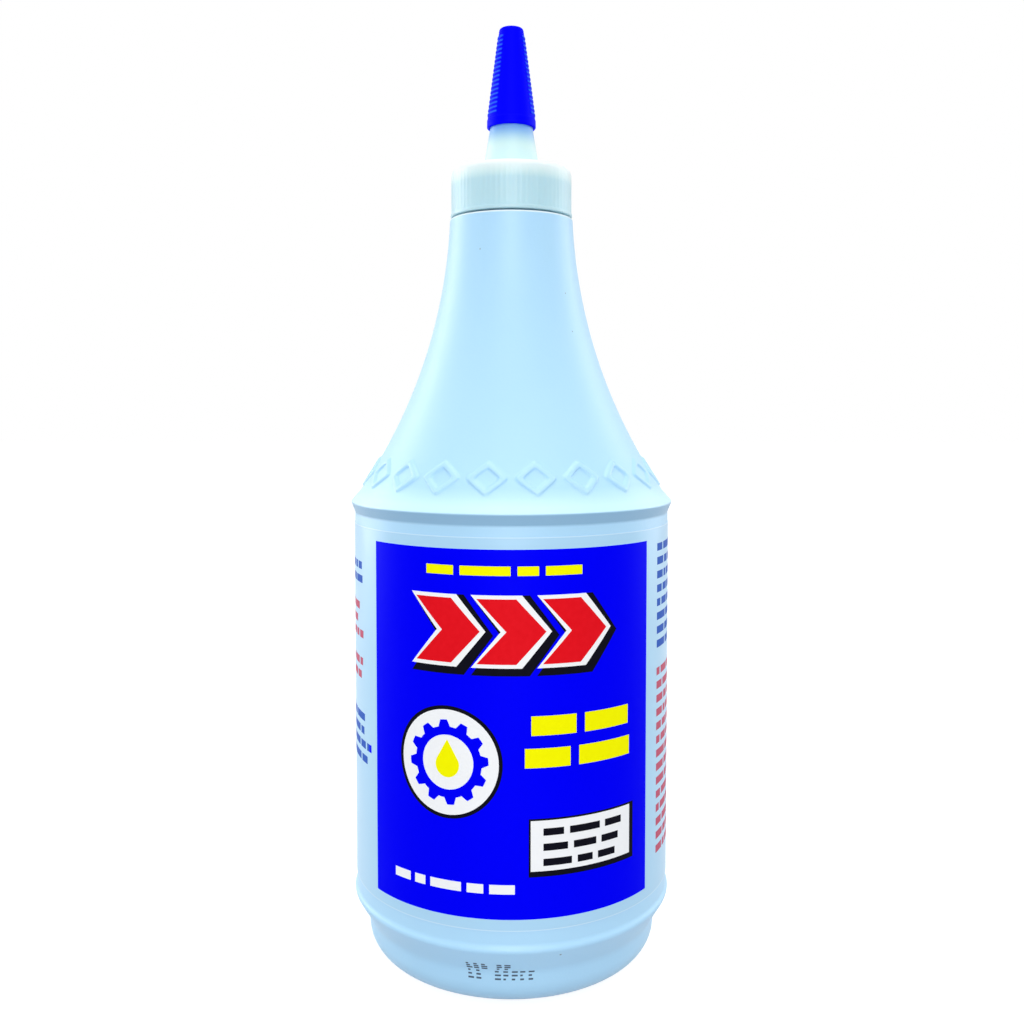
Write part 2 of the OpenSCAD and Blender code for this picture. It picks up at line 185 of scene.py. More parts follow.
def threaded(bm, root_r, side, turns, start):
    """Adds a screw thread that grows out of the wall and sinks back into it; side is -1 on an inner wall."""
    screw = bmesh.new()
    section = THREAD_HALF + [(x, -z) for x, z in reversed(THREAD_HALF)]
    places = [(root_r + side * x, THREAD_Z + z) for x, z in section]
    verts = [screw.verts.new((r * math.cos(start), r * math.sin(start), z)) for r, z in places]
    edges = [screw.edges.new(pair) for pair in zip(verts, verts[1:])]
    edges.append(screw.edges.new((verts[-1], verts[0])))
    steps = round(turns * THREAD_STEPS)
    bmesh.ops.spin(screw, geom=verts + edges, cent=(0, 0, 0), axis=(0, 0, 1),
        dvec=(0, 0, PITCH / THREAD_STEPS), angle=2 * math.pi * steps / THREAD_STEPS, steps=steps)
    for v in screw.verts:
        part = ((math.atan2(v.co.y, v.co.x) - start) / (2 * math.pi)) % 1
        at = round((v.co.z - THREAD_Z) / PITCH - part) + part
        grow = min(1, 0.02 + at * 5, 0.02 + (steps / THREAD_STEPS - at) * 5)
        r = math.hypot(v.co.x, v.co.y)
        push_out(v, (r - root_r - side * THREAD_HALF[0][0]) * (grow - 1))
    bmesh.ops.holes_fill(screw, edges=[e for e in screw.edges if e.is_boundary], sides=0)
    bmesh.ops.recalc_face_normals(screw, faces=screw.faces[:])
    take_in(bm, screw)


def soft_step(x):
    """Smooth step from 0 to 1."""
    x = min(1, max(0, x))
    return x * x * (3 - 2 * x)


def push_out(v, out):
    """Moves a point away from the axis."""
    r = math.hypot(v.co.x, v.co.y)
    v.co.x *= (r + out) / r
    v.co.y *= (r + out) / r


def piece(name, bm, body, material, stands_for=(), sharp=40):
    """Makes the finished object, in metres, and puts it on its body."""
    bmesh.ops.scale(bm, vec=(MM, MM, MM), verts=bm.verts[:])
    for face in bm.faces:
        face.smooth = True
    for edge in bm.edges:
        edge.smooth = edge.calc_face_angle(0) < math.radians(sharp)
    mesh = bpy.data.meshes.new(name)
    bm.to_mesh(mesh)
    bm.free()
    mesh.materials.append(material)
    made = bpy.data.objects.new(name, mesh)
    bpy.context.scene.collection.objects.link(made)
    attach(made, body)
    if stands_for:
        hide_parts(*stands_for)
    return made


# Materials

def linear(code):
    """Linear colour from an sRGB hex value."""
    parts = [int(code[i:i + 2], 16) / 255 for i in (1, 3, 5)]
    return tuple(c / 12.92 if c <= 0.04045 else ((c + 0.055) / 1.055) ** 2.4 for c in parts) + (1,)


def per_mm(size):
    """Scale of a pattern whose cells are this many millimetres wide."""
    return 1 / (size * MM)


def add(tree, kind, inputs=None, **settings):
    """Adds a node with its settings; a socket among its inputs is linked, a value is set."""
    node = tree.nodes.new("ShaderNode" + kind)
    for key, value in settings.items():
        setattr(node, key, value)
    for key, value in (inputs or {}).items():
        if isinstance(value, bpy.types.NodeSocket):
            tree.links.new(value, node.inputs[key])
        else:
            node.inputs[key].default_value = value
    return node


def fresh(name):
    """New material with an empty node tree."""
    material = bpy.data.materials.new(name)
    material.use_nodes = True
    material.node_tree.nodes.clear()
    return material, material.node_tree


def times(tree, socket, factor):
    """A height in millimetres from a pattern."""
    return add(tree, "Math", {0: socket, 1: factor}, operation="MULTIPLY").outputs[0]


def plus(tree, *sockets):
    """Sum of several heights."""
    total = sockets[0]
    for socket in sockets[1:]:
        total = add(tree, "Math", {0: total, 1: socket}, operation="ADD").outputs[0]
    return total


def relief_of(tree, height):
    """Bump from a height in millimetres."""
    return add(tree, "Bump", {"Height": height, "Distance": MM, "Strength": 1}).outputs["Normal"]


def tone(tree, factor, low, high):
    """Colour between two hex values."""
    return add(tree, "Mix", {0: factor, 6: linear(low), 7: linear(high)}, data_type="RGBA").outputs[2]


def over(tree, base, factor, colour):
    """Hex colour laid over a base colour."""
    return add(tree, "Mix", {0: factor, 6: base, 7: linear(colour)}, data_type="RGBA").outputs[2]


def band(tree, height, low, high, below, above):
    """1 between two heights in millimetres, fading to 0 below and above them."""
    rise = add(tree, "MapRange", {0: height, 1: (low - below) * MM, 2: low * MM}).outputs[0]
    fall = add(tree, "MapRange", {0: height, 1: high * MM, 2: (high + above) * MM, 3: 1.0, 4: 0.0})
    return add(tree, "Math", {0: rise, 1: fall.outputs[0]}, operation="MULTIPLY").outputs[0]


def seen_rays(tree):
    """1 where the camera sees a surface, straight, mirrored or through something clear."""
    rays = add(tree, "LightPath").outputs
    seen = rays["Is Camera Ray"]
    for kind in ("Is Glossy Ray", "Is Transmission Ray"):
        seen = add(tree, "Math", {0: seen, 1: rays[kind]}, operation="MAXIMUM").outputs[0]
    return seen


def blown_polyethylene():
    """High-density polyethylene, blow-moulded: satin, faintly wavy, with mould lines and a few dark specks;
    a painted highlight along the neck's base edge and on the ledge above the ridge, and painted shade in the
    hollow under the ridge."""
    material, tree = fresh("blown_polyethylene")
    place = add(tree, "TexCoord").outputs["Object"]
    apart = add(tree, "SeparateXYZ", {0: place})
    wave = add(tree, "TexNoise", {"Vector": place, "Scale": per_mm(16), "Detail": 1.0}).outputs[0]
    grain = add(tree, "TexNoise", {"Vector": place, "Scale": per_mm(0.7), "Detail": 3.0}).outputs[0]
    side = add(tree, "Math", {0: apart.outputs["Y"]}, operation="ABSOLUTE").outputs[0]
    seam = add(tree, "MapRange", {0: side, 1: 0.05 * MM, 2: 0.3 * MM, 3: 1.0, 4: 0.0}).outputs[0]
    height = plus(tree, times(tree, wave, 0.09), times(tree, grain, 0.016), times(tree, seam, 0.05))
    turn = add(tree, "Math", {0: apart.outputs["Y"], 1: apart.outputs["X"]}, operation="ARCTAN2").outputs[0]
    round_about = times(tree, turn, 33 * MM)
    unrolled = add(tree, "CombineXYZ", {0: round_about, 1: apart.outputs["Z"]}).outputs[0]
    cells = add(tree, "TexVoronoi", {"Vector": unrolled, "Scale": per_mm(21)}, voronoi_dimensions="2D")
    near = add(tree, "MapRange", {0: cells.outputs["Distance"], 1: 0.007, 2: 0.013, 3: 1.0, 4: 0.0})
    chance = add(tree, "SeparateXYZ", {0: cells.outputs["Color"]}).outputs[0]
    picked = add(tree, "Math", {0: chance, 1: 0.62}, operation="GREATER_THAN").outputs[0]
    speck = add(tree, "Math", {0: near.outputs[0], 1: picked}, operation="MULTIPLY").outputs[0]
    cloud = add(tree, "TexNoise", {"Vector": place, "Scale": per_mm(28), "Detail": 2.0}).outputs[0]
    # painted highlight: a pale band along the neck's base edge, just under the closure
    painted_edge_highlight = band(tree, apart.outputs["Z"], NECK_Z - 0.25, NECK_Z + 0.2, 0.3, 0.2)
    # painted highlight: the upward-facing ledge above the ridge made paler, where light from above falls on
    # it
    painted_shelf_highlight = band(tree, apart.outputs["Z"], RIDGE[1] + 0.1, 120.4, 0.3, 4)
    # painted shade: darker in the hollow under the ridge, where the ridge shades it
    painted_groove_shade = band(tree, apart.outputs["Z"], RIDGE_FOOT + 0.2, RIDGE[1] - 0.3, 0.7, 0.4)
    base = tone(tree, cloud, "#aedcfc", "#b5e1ff")
    base = over(tree, base, painted_edge_highlight, "#e6f5fb")
    base = over(tree, base, painted_shelf_highlight, "#c8effe")
    base = over(tree, base, painted_groove_shade, "#90bbd9")
    base = over(tree, base, speck, "#7c8f9c")
    rough = add(tree, "MapRange", {0: grain, 1: 0.3, 2: 0.7, 3: 0.38, 4: 0.5}).outputs[0]
    shader = add(tree, "BsdfPrincipled", {
        "Base Color": base, "Roughness": rough, "IOR": 1.54, "Normal": relief_of(tree, height),
        "Subsurface Weight": 0.15, "Subsurface Radius": (1.0, 1.0, 1.0), "Subsurface Scale": 1.5 * MM})
    add(tree, "OutputMaterial", {0: shader.outputs[0]})
    return material


def moulded_natural_polyethylene():
    """Low-density polyethylene, injection-moulded in its natural colour: milky, lets light through its wall,
    with painted blue light on the spout just below the tip cap and a painted highlight towards the closure's
    top."""
    material, tree = fresh("moulded_natural_polyethylene")
    place = add(tree, "TexCoord").outputs["Object"]
    apart = add(tree, "SeparateXYZ", {0: place})
    # painted blue light: the tip cap's blue painted on the spout, fading below and above the cap's lower
    # edge
    below = add(tree, "MapRange", {0: apart.outputs["Z"], 1: (TIP_Z - 6.5) * MM, 2: (TIP_Z + 0.8) * MM,
        3: 0.0, 4: 1.0}, interpolation_type="SMOOTHERSTEP").outputs[0]
    above = add(tree, "MapRange", {0: apart.outputs["Z"], 1: (TIP_Z + 0.4) * MM, 2: (TIP_Z + 5) * MM,
        3: 1.0, 4: 0.0}, interpolation_type="SMOOTHERSTEP").outputs[0]
    painted_blue_glow = add(tree, "Math", {0: below, 1: above}, operation="MULTIPLY").outputs[0]
    cloud = add(tree, "TexNoise", {"Vector": place, "Scale": per_mm(9), "Detail": 2.0}).outputs[0]
    # painted highlight: paler towards the closure's top, where light from above falls
    thin = add(tree, "MapRange", {0: apart.outputs["Z"], 1: (TOP_Z - 6) * MM, 2: (TOP_Z - 0.5) * MM},
        interpolation_type="SMOOTHERSTEP").outputs[0]
    # painted highlight: a pale band round the closure's top edge
    painted_lid_highlight = band(tree, apart.outputs["Z"], TOP_Z - 1.4, TOP_Z + 0.3, 3.2, 1.2)
    base = tone(tree, cloud, "#bbe1ef", "#c1e6f3")
    base = over(tree, base, thin, "#d2f7fc")
    base = over(tree, base, painted_lid_highlight, "#e6faff")
    base = over(tree, base, painted_blue_glow, "#74aeff")
    grain = add(tree, "TexNoise", {"Vector": place, "Scale": per_mm(0.5), "Detail": 2.0}).outputs[0]
    shader = add(tree, "BsdfPrincipled", {
        "Base Color": base, "Roughness": 0.38, "IOR": 1.51, "Specular IOR Level": 0.35,
        "Normal": relief_of(tree, times(tree, grain, 0.006)),
        "Subsurface Weight": 0.6, "Subsurface Radius": (1.0, 1.1, 1.2), "Subsurface Scale": 2.5 * MM})
    add(tree, "OutputMaterial", {0: shader.outputs[0]})
    return material


def moulded_blue_polypropylene():
    """Polypropylene, injection-moulded, dyed through: deep even blue, with a painted highlight in lighter
    blue on the tops of the grip ridges."""
    material, tree = fresh("moulded_blue_polypropylene")
    place = add(tree, "TexCoord").outputs["Object"]
    cloud = add(tree, "TexNoise", {"Vector": place, "Scale": per_mm(5), "Detail": 2.0}).outputs[0]
    grain = add(tree, "TexNoise", {"Vector": place, "Scale": per_mm(0.35), "Detail": 2.0}).outputs[0]
    # painted highlight: lighter blue on the tops of the grip ridges, weighted by an attribute of the cap's
    # mesh
    painted_crest_highlight = add(tree, "Attribute", attribute_name="painted_crest_highlight").outputs["Fac"]
    shader = add(tree, "BsdfPrincipled", {
        "Base Color": over(tree, tone(tree, cloud, "#0000fa", "#0000ff"), painted_crest_highlight, "#2f6cf4"),
        "Roughness": 0.5, "IOR": 1.49, "Specular IOR Level": 0.03,
        "Normal": relief_of(tree, times(tree, grain, 0.005)),
        "Subsurface Weight": 0.1, "Subsurface Radius": (0.2, 0.3, 1.0), "Subsurface Scale": 0.8 * MM})
    add(tree, "OutputMaterial", {0: shader.outputs[0]})
    return material


def cast_film():
    """Clear-coated polypropylene film, rolled on: glossier than the wall, barely rippled, pale at its cut
    edges."""
    material, tree = fresh("cast_film")
    place = add(tree, "TexCoord").outputs["Object"]
    ripple = add(tree, "TexNoise", {"Vector": place, "Scale": per_mm(12), "Detail": 1.0}).outputs[0]
    cloud = add(tree, "TexNoise", {"Vector": place, "Scale": per_mm(25), "Detail": 2.0}).outputs[0]
    rough = add(tree, "MapRange", {0: cloud, 1: 0.3, 2: 0.7, 3: 0.3, 4: 0.38}).outputs[0]
    height = add(tree, "SeparateXYZ", {0: place}).outputs["Z"]
    inside = band(tree, height, FILM_Z + 0.25, FILM_Z + FILM_H - 0.25, 0.1, 0.1)
    rim = add(tree, "Math", {0: 1.0, 1: inside}, operation="SUBTRACT").outputs[0]
    shader = add(tree, "BsdfPrincipled", {
        "Base Color": over(tree, tone(tree, cloud, "#add8f4", "#b4def9"), rim, "#cfebff"),
        "Roughness": rough, "IOR": 1.5, "Specular IOR Level": 0.3,
        "Normal": relief_of(tree, times(tree, ripple, 0.05))})
    add(tree, "OutputMaterial", {0: shader.outputs[0]})
    return material


def printed_ink(name, low, high, fine=None):
    """Flexographic ink on the film: even and strong, with the faintest mottle, less glossy than the film;
    paler beside the front field, where the film shows between the strokes of small print."""
    material, tree = fresh(name)
    place = add(tree, "TexCoord").outputs["Object"]
    mottle = add(tree, "TexNoise", {"Vector": place, "Scale": per_mm(1.4), "Detail": 4.0}).outputs[0]
    ripple = add(tree, "TexNoise", {"Vector": place, "Scale": per_mm(12), "Detail": 1.0}).outputs[0]
    base = tone(tree, mottle, low, high)
    if fine:
        beside = add(tree, "SeparateXYZ", {0: place}).outputs["Y"]
        base = over(tree, base, band(tree, beside, -21, 50, 1, 1), fine)
    shader = add(tree, "BsdfPrincipled", {
        "Base Color": base, "Roughness": 0.42, "IOR": 1.3, "Specular IOR Level": 0.04,
        "Normal": relief_of(tree, times(tree, ripple, 0.05))})
    add(tree, "OutputMaterial", {0: shader.outputs[0]})
    return material


def jet_ink():
    """Solvent ink sprayed in dots on the bare wall: near black, matt, thin at the dots' edges."""
    material, tree = fresh("jet_ink")
    place = add(tree, "TexCoord").outputs["Object"]
    mottle = add(tree, "TexNoise", {"Vector": place, "Scale": per_mm(0.5), "Detail": 3.0}).outputs[0]
    shader = add(tree, "BsdfPrincipled", {
        "Base Color": tone(tree, mottle, "#1d2a40", "#54697f"), "Roughness": 0.6, "IOR": 1.5})
    add(tree, "OutputMaterial", {0: shader.outputs[0]})
    return material


def clear_oil():
    """Thick mineral oil: clear amber, smooth and glossy."""
    material, tree = fresh("clear_oil")
    place = add(tree, "TexCoord").outputs["Object"]
    cloud = add(tree, "TexNoise", {"Vector": place, "Scale": per_mm(30), "Detail": 1.0}).outputs[0]
    shader = add(tree, "BsdfPrincipled", {
        "Base Color": tone(tree, cloud, "#c8862a", "#d69a3c"), "Roughness": 0.05, "IOR": 1.48,
        "Transmission Weight": 0.6})
    add(tree, "OutputMaterial", {0: shader.outputs[0]})
    return material


def foamed_polyethylene():
    """Foamed polyethylene sheet, stamped: white, soft, with fine closed cells."""
    material, tree = fresh("foamed_polyethylene")
    place = add(tree, "TexCoord").outputs["Object"]
    cells = add(tree, "TexVoronoi", {"Vector": place, "Scale": per_mm(0.35)}).outputs["Distance"]
    shader = add(tree, "BsdfPrincipled", {
        "Base Color": tone(tree, cells, "#e4e4e0", "#f6f6f3"), "Roughness": 0.75, "IOR": 1.5,
        "Normal": relief_of(tree, times(tree, cells, 0.05))})
    add(tree, "OutputMaterial", {0: shader.outputs[0]})
    return material


# Bottle: one blown shell with its neck, thread and raised lozenges

flare_chord = FLARE_HIGH - FLARE_LOW
flare_side = Vector((flare_chord.y, -flare_chord.x)).normalized()
flare_off = math.sqrt(FLARE_R ** 2 - flare_chord.length ** 2 / 4)
flare_centre = (FLARE_LOW + FLARE_HIGH) / 2 + flare_side * flare_off


def flare_at(z, inward=0):
    """Radius of the flare at a height."""
    return flare_centre.x - math.sqrt((FLARE_R + inward) ** 2 - (z - flare_centre.y) ** 2)


def flare_line(low, high, count, inward=0):
    """Points up the flare between two heights."""
    heights = [low + (high - low) * i / count for i in range(count + 1)]
    return [Vector((flare_at(z, inward), z)) for z in heights]


def dome_line(depth, count=9):
    """Push-up under the base, from the axis out to the resting ring."""
    radius = (REST_IN ** 2 + PUSH_UP ** 2) / (2 * PUSH_UP)
    line = []
    for i in range(count):
        r = REST_IN * i / count
        line.append(Vector((r, PUSH_UP + depth - radius + math.sqrt(radius ** 2 - r ** 2))))
    return line


def foot_line():
    """Outside of the foot, the lower bead, the label wall and the upper ridge."""
    return rounded([
        (REST_IN - 3, 0.85, 0), (REST_IN, 0, 2.5), (FOOT_R - 0.45, 0, FOOT_CORNER), (FOOT_R, 9.56, 5),
        BEAD, (BODY_R, 17.41, 2), (BODY_R, RIDGE_FOOT, 1.2), RIDGE,
        (flare_at(FLARE_START), FLARE_START, 0)], 6)[1:-1]


def neck_line():
    """Outside of the neck from its base, over the lip and down the bore."""
    return rounded([
        (FLARE_HIGH.x, FLARE_HIGH.y - 1, 0), (FLARE_HIGH.x, NECK_Z, 0.45), (NECK_R, NECK_Z, 0.4),
        (NECK_R, LIP_Z, 0.5), (BORE_R, LIP_Z, 0.4), (BORE_R, NECK_Z - 2, 0)], 18)[1:]


def lozenge_height(u, v):
    """Height of the raised band's surface at a place beside the middle of one lozenge."""
    u = math.sqrt(u * u + 0.16) - 0.4
    v = math.sqrt(v * v + 0.16) - 0.4
    slope = math.hypot(2 / RELIEF_W, 2 / RELIEF_H)
    inside = (1 - u * 2 / RELIEF_W - v * 2 / RELIEF_H) / slope
    away = abs(inside - RELIEF_STROKE / 2)
    return RELIEF_OUT * (1 - soft_step((away - 0.32) / 0.5))


def make_bottle(material):
    bm = bmesh.new()
    low = RELIEF_Z - RELIEF_H / 2 - RELIEF_MARGIN
    high = RELIEF_Z + RELIEF_H / 2 + RELIEF_MARGIN
    outside = dome_line(0) + foot_line()
    outside += [Vector((flare_at(FLARE_START), FLARE_START))] + flare_line(low, high, 34)
    outside += flare_line(high, FLARE_HIGH.y, 26)[1:] + neck_line()
    inside = flare_line(125, NECK_Z - 5, 14, WALL)
    inside.reverse()
    inside += [Vector((BODY_R - WALL, 116)), Vector((BODY_R - WALL, 15.3)), Vector((FOOT_R - WALL, 10))]
    inside += rounded([(FOOT_R - WALL, 10, 0), (FOOT_R - WALL - 0.4, WALL, 5.9), (REST_IN, WALL, 0)], 12)[1:]
    inside += reversed(dome_line(WALL))
    turned(bm, outside + inside, 240)
    ring = [e for e in bm.edges if abs(e.verts[0].co.z - e.verts[1].co.z) < 0.001
        and low + 0.1 < e.verts[0].co.z < high - 0.1
        and math.hypot(e.verts[0].co.x, e.verts[0].co.y) > flare_at(e.verts[0].co.z) - 0.4]
    bmesh.ops.subdivide_edges(bm, edges=ring, cuts=4, use_grid_fill=True)
    for v in bm.verts:
        r = math.hypot(v.co.x, v.co.y)
        if low < v.co.z < high and r > flare_at(v.co.z) - 0.4:
            share = (math.degrees(math.atan2(v.co.y, v.co.x)) + 90) * RELIEF_COUNT / 360 - 0.5
            across = math.radians(share - round(share)) * 360 / RELIEF_COUNT * r
            fit = flare_at(v.co.z) + lozenge_height(across, v.co.z - RELIEF_Z)
            push_out(v, fit - r)
    threaded(bm, NECK_R, 1, 1.4, 0)
    return piece("bottle_shell", bm, "bottle", material, ["bottle"], 50)


# Closure: ribbed skirt, top and hollow spout in one moulding

def cone_at(z):
    """Radius of the even cone from the spout's base to its tip, which the tip cap follows."""
    return SPOUT_BASE - (z - TOP_Z) * (SPOUT_BASE - SPOUT_TIP) / (SPOUT_Z - TOP_Z)


def spout_at(z):
    """Radius of the spout inside the tip cap."""
    return SPOUT_TIP + (SPOUT_Z - z) * (KNEE[0] - SPOUT_TIP) / (SPOUT_Z - KNEE[1])


def make_closure(material):
    bm = bmesh.new()
    line = rounded([
        (SKIRT_IN, SKIRT_Z, 0.25), (SKIRT_R, SKIRT_Z, 0.3), (SKIRT_R, SKIRT_Z + 0.85, 0.1),
        (RIB_VALLEY, SKIRT_Z + 0.95, 0.08), (RIB_VALLEY, TOP_Z, 1.6), (SPOUT_BASE, TOP_Z, 1.0),
        KNEE, (SPOUT_TIP, SPOUT_Z, 0.3), (SPOUT_TIP - SPOUT_WALL, SPOUT_Z, 0.2),
        (SPOUT_BASE - SPOUT_WALL, PLATE_Z, 0.5), (SKIRT_IN, PLATE_Z, 0.4)], 12)
    dense = []
    for start, end in zip(line, line[1:] + line[:1]):
        dense.append(start)
        dense += stretch(start, end, max(1, round((end - start).length / 2.5)))
    turned(bm, dense, RIB_COUNT * 6, closed=True)
    rib_low = SKIRT_Z + 0.95
    for v in bm.verts:
        r = math.hypot(v.co.x, v.co.y)
        if r > RIB_VALLEY - 0.6 and v.co.z > rib_low:
            wave = 0.5 + 0.5 * math.cos(math.atan2(v.co.y, v.co.x) * RIB_COUNT)
            fade = soft_step((TOP_Z - 0.5 - v.co.z) / 1.6)
            push_out(v, RIB_OUT * wave * fade)
    threaded(bm, SKIRT_IN, -1, 1.5, math.pi)
    return piece("pouring_closure", bm, "closure", material, ["spout_cap"], 50)


# Tip cap: pull-off cap with grip ridges on two sides

def outer(z):
    """Radius of the tip cap's outside between its ridges."""
    return cone_at(z) + TIP_OFF + TIP_SWELL * (z - TIP_Z) / (TIP_TOP - TIP_Z)


def inner(z):
    """Radius of the tip cap's inside."""
    return spout_at(z) + TIP_CLEAR


def make_tip_cap(material):
    bm = bmesh.new()
    collar_z = TIP_Z + TIP_COLLAR
    grip_low = collar_z + 0.6
    grip_high = TIP_TOP - 2.0
    pitch = (grip_high - grip_low) / GRIP_COUNT
    collar_r = outer(collar_z) + 0.12
    top = rounded([
        (0, TIP_TOP, 0), (outer(TIP_TOP), TIP_TOP, 0.75),
        (outer(grip_high + 0.2), grip_high + 0.2, 0)], 10)[:-1]
    rows = 8 * GRIP_COUNT
    grip = [grip_high + 0.15 - (grip_high - grip_low + 0.3) * i / rows for i in range(rows + 1)]
    foot = rounded([
        (outer(grip_low - 0.2), grip_low - 0.2, 0), (outer(collar_z), collar_z, 0.2),
        (collar_r + 0.02, collar_z - 0.35, 0.2), (collar_r + 0.06, TIP_Z, 0.45),
        (inner(TIP_Z) + 0.02, TIP_Z, 0.15), (inner(TIP_Z + 3), TIP_Z + 3, 0)], 15)[1:]
    lid_z = TIP_TOP - TIP_LID
    lining = [Vector((inner(lid_z), lid_z)), Vector((0, lid_z))]
    turned(bm, top + [Vector((outer(z), z)) for z in grip] + foot + lining, 192)
    # painted highlight weight on the tops of the grip ridges, read by the cap's material
    painted_crest_highlight = bm.verts.layers.float.new("painted_crest_highlight")
    for v in bm.verts:
        r = math.hypot(v.co.x, v.co.y)
        if grip_low - 0.2 < v.co.z < grip_high + 0.2 and r > outer(v.co.z) - 0.1:
            turn = math.atan2(v.co.y, v.co.x) - GRIP_TURN
            off = min(abs(turn), abs(abs(turn) - math.pi))
            beyond = max(0, off - GRIP_HALF) * r
            row = (v.co.z - grip_low) / pitch - 0.5
            if -0.6 < row < GRIP_COUNT - 0.4:
                away = math.hypot((row - round(row)) * pitch, beyond)
                rise = math.cos(min(1, away / 0.5) * math.pi / 2) ** 0.8
                push_out(v, GRIP_OUT * rise)
                v[painted_crest_highlight] = rise ** 5
    return piece("pull_cap", bm, "tip", material, ["tip_cap"], 50)


# Label: a film wrapped round the wall, with its end lapped over its start at the back

def make_label(material):
    bm = bmesh.new()
    inner_r = BODY_R + 0.01
    start = math.radians(86)
    steps = 256
    lap = 8
    places = [(inner_r, FILM_Z), (FILM_R, FILM_Z), (FILM_R, FILM_Z + FILM_H), (inner_r, FILM_Z + FILM_H)]
    verts = [bm.verts.new((r * math.cos(start), r * math.sin(start), z)) for r, z in places]
    edges = [bm.edges.new((verts[i], verts[(i + 1) % 4])) for i in range(4)]
    bmesh.ops.spin(bm, geom=verts + edges, cent=(0, 0, 0), axis=(0, 0, 1), dvec=(0, 0, 0),
        angle=2 * math.pi * (steps + lap) / steps, steps=steps + lap)
    bm.verts.index_update()
    for v in bm.verts:
        push_out(v, (FILM_R - BODY_R) * soft_step((v.index // 4 - steps + 6) / 4))
    bmesh.ops.holes_fill(bm, edges=[e for e in bm.edges if e.is_boundary], sides=4)
    bmesh.ops.recalc_face_normals(bm, faces=bm.faces[:])
    return piece("label_film", bm, "bottle", material, ["label"], 30)


# Print: flat shapes drawn in millimetres along the curve and up the field, then wrapped on the film

def bar(bm, left, right, low, high, lean=0):
    """Upright or leaning bar."""
    corners = [(left, low), (right, low), (right + lean, high), (left + lean, high)]
    bm.faces.new([bm.verts.new((u, v, 0)) for u, v in corners])


def bar_row(bm, left, low, high, lengths, gap, lean=0):
    """Row of bars in the place of a line of print."""
    for length in lengths:
        bar(bm, left, left + length, low, high, lean)
        left += length + gap


def shape(bm, middle, points):
    """Flat shape with straight sides."""
    bm.faces.new([bm.verts.new((middle[0] + u, middle[1] + v, 0)) for u, v in points])


def chevron(w, h, slant):
    """Corners of a slanted arrow stripe."""
    return [(-w / 2, -h / 2), (w / 2 - slant, -h / 2), (w / 2, 0), (w / 2 - slant, h / 2), (-w / 2, h / 2),
        (-w / 2 + slant, 0)]


def disc(bm, middle, radius):
    """Round spot."""
    place = Matrix.Translation(middle + (0,))
    bmesh.ops.create_circle(bm, cap_ends=True, segments=72, radius=radius, matrix=place)


def toothed_ring(bm, middle, radius, teeth, tooth):
    """Ring with square teeth round its outside."""
    place = Matrix.Translation(middle + (0,))
    rings = []
    for r in (radius, radius - tooth):
        rings.append(bmesh.ops.create_circle(bm, segments=teeth * 6, radius=r, matrix=place)["verts"])
    for i, v in enumerate(rings[0]):
        if i % 6 < 3:
            out = Vector((v.co.x - middle[0], v.co.y - middle[1], 0))
            v.co += out.normalized() * tooth * 0.8
    edges = [e for ring in rings for v in ring for e in v.link_edges]
    bmesh.ops.bridge_loops(bm, edges=list(set(edges)))


def drop(bm, middle, radius, height):
    """Drop with a round belly and a pointed top."""
    a = math.degrees(math.asin(radius / (height - radius)))
    points = [tuple(p) for p in arc((0, 0), radius, 180 - a, 360 + a, 28)]
    shape(bm, middle, points + [(0, height - radius)])


def wrap(bm, thickness, wall_at, girth_r, lift=0):
    """Thickens flat shapes and wraps them round the axis in strips, on the wall's radius at each height."""
    cuts = int(max(abs(v.co.x) for v in bm.verts) / STRIP) + 1
    for i in range(-cuts, cuts + 1):
        bmesh.ops.bisect_plane(bm, geom=bm.verts[:] + bm.edges[:] + bm.faces[:],
            plane_co=(i * STRIP, 0, 0), plane_no=(1, 0, 0))
    bmesh.ops.recalc_face_normals(bm, faces=bm.faces[:])
    bmesh.ops.solidify(bm, geom=bm.faces[:], thickness=thickness)
    lowest = min(v.co.z for v in bm.verts)
    for v in bm.verts:
        r = wall_at(v.co.y) + v.co.z - lowest
        a = v.co.x / girth_r - math.pi / 2
        v.co = (r * math.cos(a), r * math.sin(a), lift + v.co.y)
    bmesh.ops.recalc_face_normals(bm, faces=bm.faces[:])


def make_print(name, material, node, layers):
    """Wraps each layer's shapes on the film, as thin closed sheets."""
    whole = bmesh.new()
    for layer, draw in layers:
        flat = bmesh.new()
        draw(flat)
        layer_r = FILM_R + 0.003 + INK_T * layer
        wrap(flat, INK_T * 0.9, lambda v: layer_r, FILM_R, FIELD_Z)
        take_in(whole, flat)
    return piece(name, whole, "bottle", material, [node], 30)


# Places on the front field, from its lower edge and its middle line
ARROW_W = 19
ARROW_H = 17
ARROW_SLANT = 7
ARROW_V = FIELD_H * 0.78
ARROWS = [(15.5 * i, ARROW_V) for i in (-1, 0, 1)]
BADGE = (-FIELD_W * 0.2, FIELD_H * 0.42)
BADGE_R = 12.5
BOX_W = 27
BOX_H = 12
BOX = (FIELD_W / 2 - BOX_W / 2 - 7, FIELD_H * 0.2)
EDGE = 0.9
ROW_H = 2.2

# Lines of fine print beside the field, each cut into words: even on the right, ragged on the left
SIDE_GAP = 6.1
SIDE_STEP = 3.5
SIDE_H = 1.9
SIDE_W = 46
LEFT_REACH = 55
LEFT_ENDS = [9, 8.5, 25.5, 10, 13.5, 8, 23.5, 7.8, 9, 27.5, 22.5, 6, 7, 3, 5.5, 22.5, 27.5]
WORDS = [4, 6.5, 2.5, 5, 3.2, 7, 4.5, 2.2, 5.8, 3.6]


def words(bm, left, right, low, first):
    """One line of print, as bars of word lengths."""
    i = first
    while right - left > 1.2:
        length = min(WORDS[i % len(WORDS)], right - left)
        bar(bm, left, left + length, low, low + SIDE_H)
        left += length + 1
        i += 1


